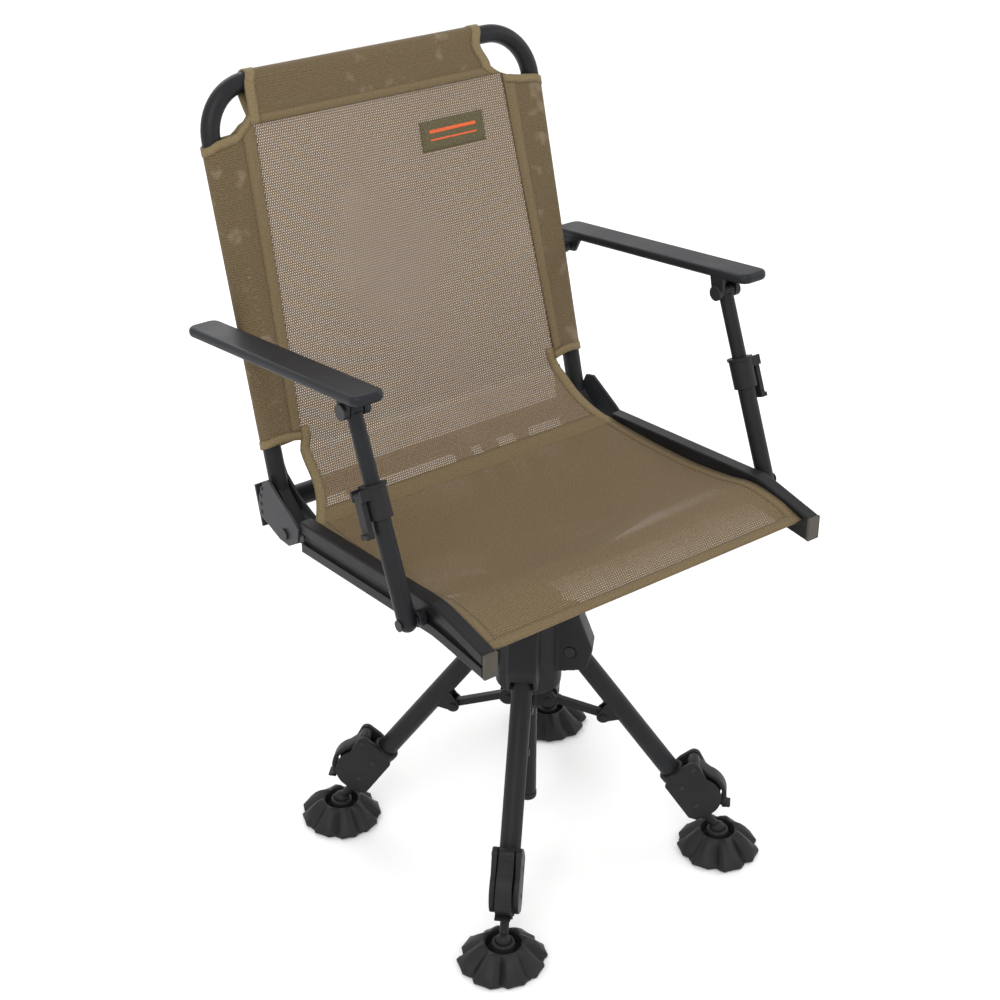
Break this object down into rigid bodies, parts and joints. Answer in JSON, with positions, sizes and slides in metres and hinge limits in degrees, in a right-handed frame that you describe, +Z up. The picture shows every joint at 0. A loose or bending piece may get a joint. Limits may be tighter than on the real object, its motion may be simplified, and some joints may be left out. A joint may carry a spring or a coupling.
{
  "type": "blind swivel chair",
  "caption": "Folding sling chair on a swivelling hub with spread telescoping legs, wide tilting mud feet, height-adjusting arm rests and a fold-down mesh back.",
  "frame": {"origin": "on the ground, under the axis that the seat swivels about", "axes": "+Z up, -Y out of the front of the seat, +X towards the right-hand arm seen from the front, so the sitter's left"},
  "size_m": [0.5822, 0.551, 0.9617],
  "materials": {
    "coated_steel": "black powder coat",
    "moulded_plastic": "black moulded nylon",
    "arm_moulding": "smooth black moulding",
    "foot_rubber": "ribbed black foot plastic",
    "blackened_fasteners": "blackened steel",
    "mesh_fabric": "brown woven textile mesh"
  },
  "bodies": {
    "base": {"leg_hub": "moulded_plastic", "centre_post": "coated_steel", "post_cap": "moulded_plastic", "leg_pivot_bolts": "blackened_fasteners", "swivel_spindle": "blackened_fasteners"},
    "collar": {"slide_collar": "moulded_plastic"},
    "link_front_left_body": {"link_front_left": "coated_steel"},
    "leg_front_left": {"leg_tube_front_left": "coated_steel", "leg_clamp_front_left": "moulded_plastic"},
    "lever_front_left": {"leg_lever_front_left": "moulded_plastic"},
    "inner_front_left": {"inner_leg_front_left": "coated_steel"},
    "ball_front_left": {"foot_ball_front_left": "moulded_plastic"},
    "mud_foot_front_left": {"foot_front_left": "foot_rubber"},
    "link_front_right_body": {"link_front_right": "coated_steel"},
    "leg_front_right": {"leg_tube_front_right": "coated_steel", "leg_clamp_front_right": "moulded_plastic"},
    "lever_front_right": {"leg_lever_front_right": "moulded_plastic"},
    "inner_front_right": {"inner_leg_front_right": "coated_steel"},
    "ball_front_right": {"foot_ball_front_right": "moulded_plastic"},
    "mud_foot_front_right": {"foot_front_right": "foot_rubber"},
    "link_rear_right_body": {"link_rear_right": "coated_steel"},
    "leg_rear_right": {"leg_tube_rear_right": "coated_steel", "leg_clamp_rear_right": "moulded_plastic"},
    "lever_rear_right": {"leg_lever_rear_right": "moulded_plastic"},
    "inner_rear_right": {"inner_leg_rear_right": "coated_steel"},
    "ball_rear_right": {"foot_ball_rear_right": "moulded_plastic"},
    "mud_foot_rear_right": {"foot_rear_right": "foot_rubber"},
    "link_rear_left_body": {"link_rear_left": "coated_steel"},
    "leg_rear_left": {"leg_tube_rear_left": "coated_steel", "leg_clamp_rear_left": "moulded_plastic"},
    "lever_rear_left": {"leg_lever_rear_left": "moulded_plastic"},
    "inner_rear_left": {"inner_leg_rear_left": "coated_steel"},
    "ball_rear_left": {"foot_ball_rear_left": "moulded_plastic"},
    "mud_foot_rear_left": {"foot_rear_left": "foot_rubber"},
    "seat": {"swivel_housing": "coated_steel", "seat_support": "coated_steel", "rear_crossbar": "coated_steel", "seat_rail_left": "coated_steel", "seat_rail_right": "coated_steel", "rail_end_plugs": "moulded_plastic", "seat_sling": "mesh_fabric", "hinge_bracket_left": "coated_steel", "hinge_bracket_right": "coated_steel", "hinge_bolts": "blackened_fasteners", "arm_base_bolts": "blackened_fasteners"},
    "back": {"back_frame": "coated_steel", "back_sling": "mesh_fabric", "back_rivets": "blackened_fasteners"},
    "arm_lower_left": {"arm_post_lower_left": "coated_steel", "arm_clamp_left": "moulded_plastic"},
    "arm_upper_left": {"arm_post_upper_left": "coated_steel"},
    "arm_flip_left": {"arm_lever_left": "moulded_plastic"},
    "arm_bolt_left": {"arm_pivot_bolt_left": "blackened_fasteners"},
    "arm_rest_left": {"arm_pad_left": "arm_moulding"},
    "arm_lower_right": {"arm_post_lower_right": "coated_steel", "arm_clamp_right": "moulded_plastic"},
    "arm_upper_right": {"arm_post_upper_right": "coated_steel"},
    "arm_flip_right": {"arm_lever_right": "moulded_plastic"},
    "arm_bolt_right": {"arm_pivot_bolt_right": "blackened_fasteners"},
    "arm_rest_right": {"arm_pad_right": "arm_moulding"}
  },
  "joints": [
    {"name": "collar_slide", "type": "slide", "parent": "base", "child": "collar", "axis": [0, 0, 1], "range_m": [0, 0.0405]},
    {"name": "leg_fold_front_left", "type": "hinge", "parent": "base", "child": "leg_front_left", "pos_m": [-0.03677, -0.03677, 0.292], "axis": [0.7071, -0.7071, 0], "range_deg": [0, 26]},
    {"name": "link_swing_front_left", "type": "hinge", "parent": "collar", "child": "link_front_left_body", "pos_m": [-0.01768, -0.01768, 0.214], "axis": [0.7071, -0.7071, 0], "range_deg": [0, 56.18]},
    {"name": "leg_lever_flip_front_left", "type": "hinge", "parent": "leg_front_left", "child": "lever_front_left", "pos_m": [-0.14841, -0.14841, 0.1301], "axis": [-0.7071, 0.7071, 0], "range_deg": [0, 110]},
    {"name": "leg_extend_front_left", "type": "slide", "parent": "leg_front_left", "child": "inner_front_left", "axis": [-0.4196, -0.4196, -0.8049], "range_m": [0, 0.1]},
    {"name": "foot_pitch_front_left", "type": "hinge", "parent": "inner_front_left", "child": "ball_front_left", "pos_m": [-0.17336, -0.17336, 0.03], "axis": [0.7071, -0.7071, 0], "range_deg": [-12, 12]},
    {"name": "foot_roll_front_left", "type": "hinge", "parent": "ball_front_left", "child": "mud_foot_front_left", "pos_m": [-0.17336, -0.17336, 0.03], "axis": [-0.7071, -0.7071, 0], "range_deg": [-12, 12]},
    {"name": "leg_fold_front_right", "type": "hinge", "parent": "base", "child": "leg_front_right", "pos_m": [0.03677, -0.03677, 0.292], "axis": [0.7071, 0.7071, 0], "range_deg": [0, 26.05]},
    {"name": "link_swing_front_right", "type": "hinge", "parent": "collar", "child": "link_front_right_body", "pos_m": [0.01768, -0.01768, 0.214], "axis": [0.7071, 0.7071, 0], "range_deg": [0, 56.18]},
    {"name": "leg_lever_flip_front_right", "type": "hinge", "parent": "leg_front_right", "child": "lever_front_right", "pos_m": [0.14841, -0.14841, 0.1301], "axis": [-0.7071, -0.7071, 0], "range_deg": [0, 110]},
    {"name": "leg_extend_front_right", "type": "slide", "parent": "leg_front_right", "child": "inner_front_right", "axis": [0.4196, -0.4196, -0.8049], "range_m": [0, 0.1]},
    {"name": "foot_pitch_front_right", "type": "hinge", "parent": "inner_front_right", "child": "ball_front_right", "pos_m": [0.17336, -0.17336, 0.03], "axis": [0.7071, 0.7071, 0], "range_deg": [-12, 12]},
    {"name": "foot_roll_front_right", "type": "hinge", "parent": "ball_front_right", "child": "mud_foot_front_right", "pos_m": [0.17336, -0.17336, 0.03], "axis": [0.7071, -0.7071, 0], "range_deg": [-12, 12]},
    {"name": "leg_fold_rear_right", "type": "hinge", "parent": "base", "child": "leg_rear_right", "pos_m": [0.03677, 0.03677, 0.292], "axis": [-0.7071, 0.7071, 0], "range_deg": [0, 26.05]},
    {"name": "link_swing_rear_right", "type": "hinge", "parent": "collar", "child": "link_rear_right_body", "pos_m": [0.01768, 0.01768, 0.214], "axis": [-0.7071, 0.7071, 0], "range_deg": [0, 56.18]},
    {"name": "leg_lever_flip_rear_right", "type": "hinge", "parent": "leg_rear_right", "child": "lever_rear_right", "pos_m": [0.14841, 0.14841, 0.1301], "axis": [0.7071, -0.7071, 0], "range_deg": [0, 110]},
    {"name": "leg_extend_rear_right", "type": "slide", "parent": "leg_rear_right", "child": "inner_rear_right", "axis": [0.4196, 0.4196, -0.8049], "range_m": [0, 0.1]},
    {"name": "foot_pitch_rear_right", "type": "hinge", "parent": "inner_rear_right", "child": "ball_rear_right", "pos_m": [0.17336, 0.17336, 0.03], "axis": [-0.7071, 0.7071, 0], "range_deg": [-12, 12]},
    {"name": "foot_roll_rear_right", "type": "hinge", "parent": "ball_rear_right", "child": "mud_foot_rear_right", "pos_m": [0.17336, 0.17336, 0.03], "axis": [0.7071, 0.7071, 0], "range_deg": [-12, 12]},
    {"name": "leg_fold_rear_left", "type": "hinge", "parent": "base", "child": "leg_rear_left", "pos_m": [-0.03677, 0.03677, 0.292], "axis": [-0.7071, -0.7071, 0], "range_deg": [0, 26.05]},
    {"name": "link_swing_rear_left", "type": "hinge", "parent": "collar", "child": "link_rear_left_body", "pos_m": [-0.01768, 0.01768, 0.214], "axis": [-0.7071, -0.7071, 0], "range_deg": [0, 56.18]},
    {"name": "leg_lever_flip_rear_left", "type": "hinge", "parent": "leg_rear_left", "child": "lever_rear_left", "pos_m": [-0.14841, 0.14841, 0.1301], "axis": [0.7071, 0.7071, 0], "range_deg": [0, 110]},
    {"name": "leg_extend_rear_left", "type": "slide", "parent": "leg_rear_left", "child": "inner_rear_left", "axis": [-0.4196, 0.4196, -0.8049], "range_m": [0, 0.1]},
    {"name": "foot_pitch_rear_left", "type": "hinge", "parent": "inner_rear_left", "child": "ball_rear_left", "pos_m": [-0.17336, 0.17336, 0.03], "axis": [-0.7071, -0.7071, 0], "range_deg": [-12, 12]},
    {"name": "foot_roll_rear_left", "type": "hinge", "parent": "ball_rear_left", "child": "mud_foot_rear_left", "pos_m": [-0.17336, 0.17336, 0.03], "axis": [-0.7071, 0.7071, 0], "range_deg": [-12, 12]},
    {"name": "seat_swivel", "type": "hinge", "parent": "base", "child": "seat", "pos_m": [0, 0, 0.38], "axis": [0, 0, 1], "continuous": true},
    {"name": "back_fold", "type": "hinge", "parent": "seat", "child": "back", "pos_m": [0, 0.1475, 0.463], "axis": [1, 0, 0], "range_deg": [0, 80]},
    {"name": "arm_swing_left", "type": "hinge", "parent": "seat", "child": "arm_lower_left", "pos_m": [-0.2645, -0.1248, 0.4834], "axis": [1, 0, 0], "range_deg": [0, 80.05]},
    {"name": "arm_height_left", "type": "slide", "parent": "arm_lower_left", "child": "arm_upper_left", "axis": [0, 0.3775, 0.926], "range_m": [0, 0.05]},
    {"name": "arm_bolt_turn_left", "type": "hinge", "parent": "arm_upper_left", "child": "arm_bolt_left", "pos_m": [-0.2645, -0.0363, 0.7005], "axis": [-1, 0, 0], "range_deg": [0, 10.51]},
    {"name": "arm_pad_tilt_left", "type": "hinge", "parent": "arm_bolt_left", "child": "arm_rest_left", "pos_m": [-0.2645, -0.0363, 0.7005], "axis": [-1, 0, 0], "range_deg": [0, 80.05]},
    {"name": "arm_lever_flip_left", "type": "hinge", "parent": "arm_lower_left", "child": "arm_flip_left", "pos_m": [-0.2835, -0.07006, 0.61767], "axis": [0, 0.926, -0.3775], "range_deg": [0, 100]},
    {"name": "arm_swing_right", "type": "hinge", "parent": "seat", "child": "arm_lower_right", "pos_m": [0.2645, -0.1248, 0.4834], "axis": [1, 0, 0], "range_deg": [0, 80.05]},
    {"name": "arm_height_right", "type": "slide", "parent": "arm_lower_right", "child": "arm_upper_right", "axis": [0, 0.3775, 0.926], "range_m": [0, 0.05]},
    {"name": "arm_bolt_turn_right", "type": "hinge", "parent": "arm_upper_right", "child": "arm_bolt_right", "pos_m": [0.2645, -0.0363, 0.7005], "axis": [-1, 0, 0], "range_deg": [0, 10.51]},
    {"name": "arm_pad_tilt_right", "type": "hinge", "parent": "arm_bolt_right", "child": "arm_rest_right", "pos_m": [0.2645, -0.0363, 0.7005], "axis": [-1, 0, 0], "range_deg": [0, 80.05]},
    {"name": "arm_lever_flip_right", "type": "hinge", "parent": "arm_lower_right", "child": "arm_flip_right", "pos_m": [0.2835, -0.07006, 0.61767], "axis": [0, -0.926, 0.3775], "range_deg": [0, 100]}
  ],
  "couplings": [
    {"joint": "link_swing_front_left", "follows": "leg_fold_front_left", "ratio": 2.157},
    {"joint": "leg_fold_front_right", "follows": "leg_fold_front_left", "ratio": 1},
    {"joint": "link_swing_front_right", "follows": "leg_fold_front_left", "ratio": 2.157},
    {"joint": "leg_fold_rear_right", "follows": "leg_fold_front_left", "ratio": 1},
    {"joint": "link_swing_rear_right", "follows": "leg_fold_front_left", "ratio": 2.157},
    {"joint": "leg_fold_rear_left", "follows": "leg_fold_front_left", "ratio": 1},
    {"joint": "link_swing_rear_left", "follows": "leg_fold_front_left", "ratio": 2.157},
    {"joint": "collar_slide", "follows": "leg_fold_front_left", "m_per_rad": 0.088363},
    {"joint": "arm_swing_left", "follows": "back_fold", "ratio": 1},
    {"joint": "arm_pad_tilt_left", "follows": "back_fold", "ratio": 1},
    {"joint": "arm_bolt_turn_left", "follows": "arm_height_left", "rad_per_m": 3.6516},
    {"joint": "arm_swing_right", "follows": "back_fold", "ratio": 1},
    {"joint": "arm_pad_tilt_right", "follows": "back_fold", "ratio": 1},
    {"joint": "arm_bolt_turn_right", "follows": "arm_height_right", "rad_per_m": 3.6516}
  ]
}
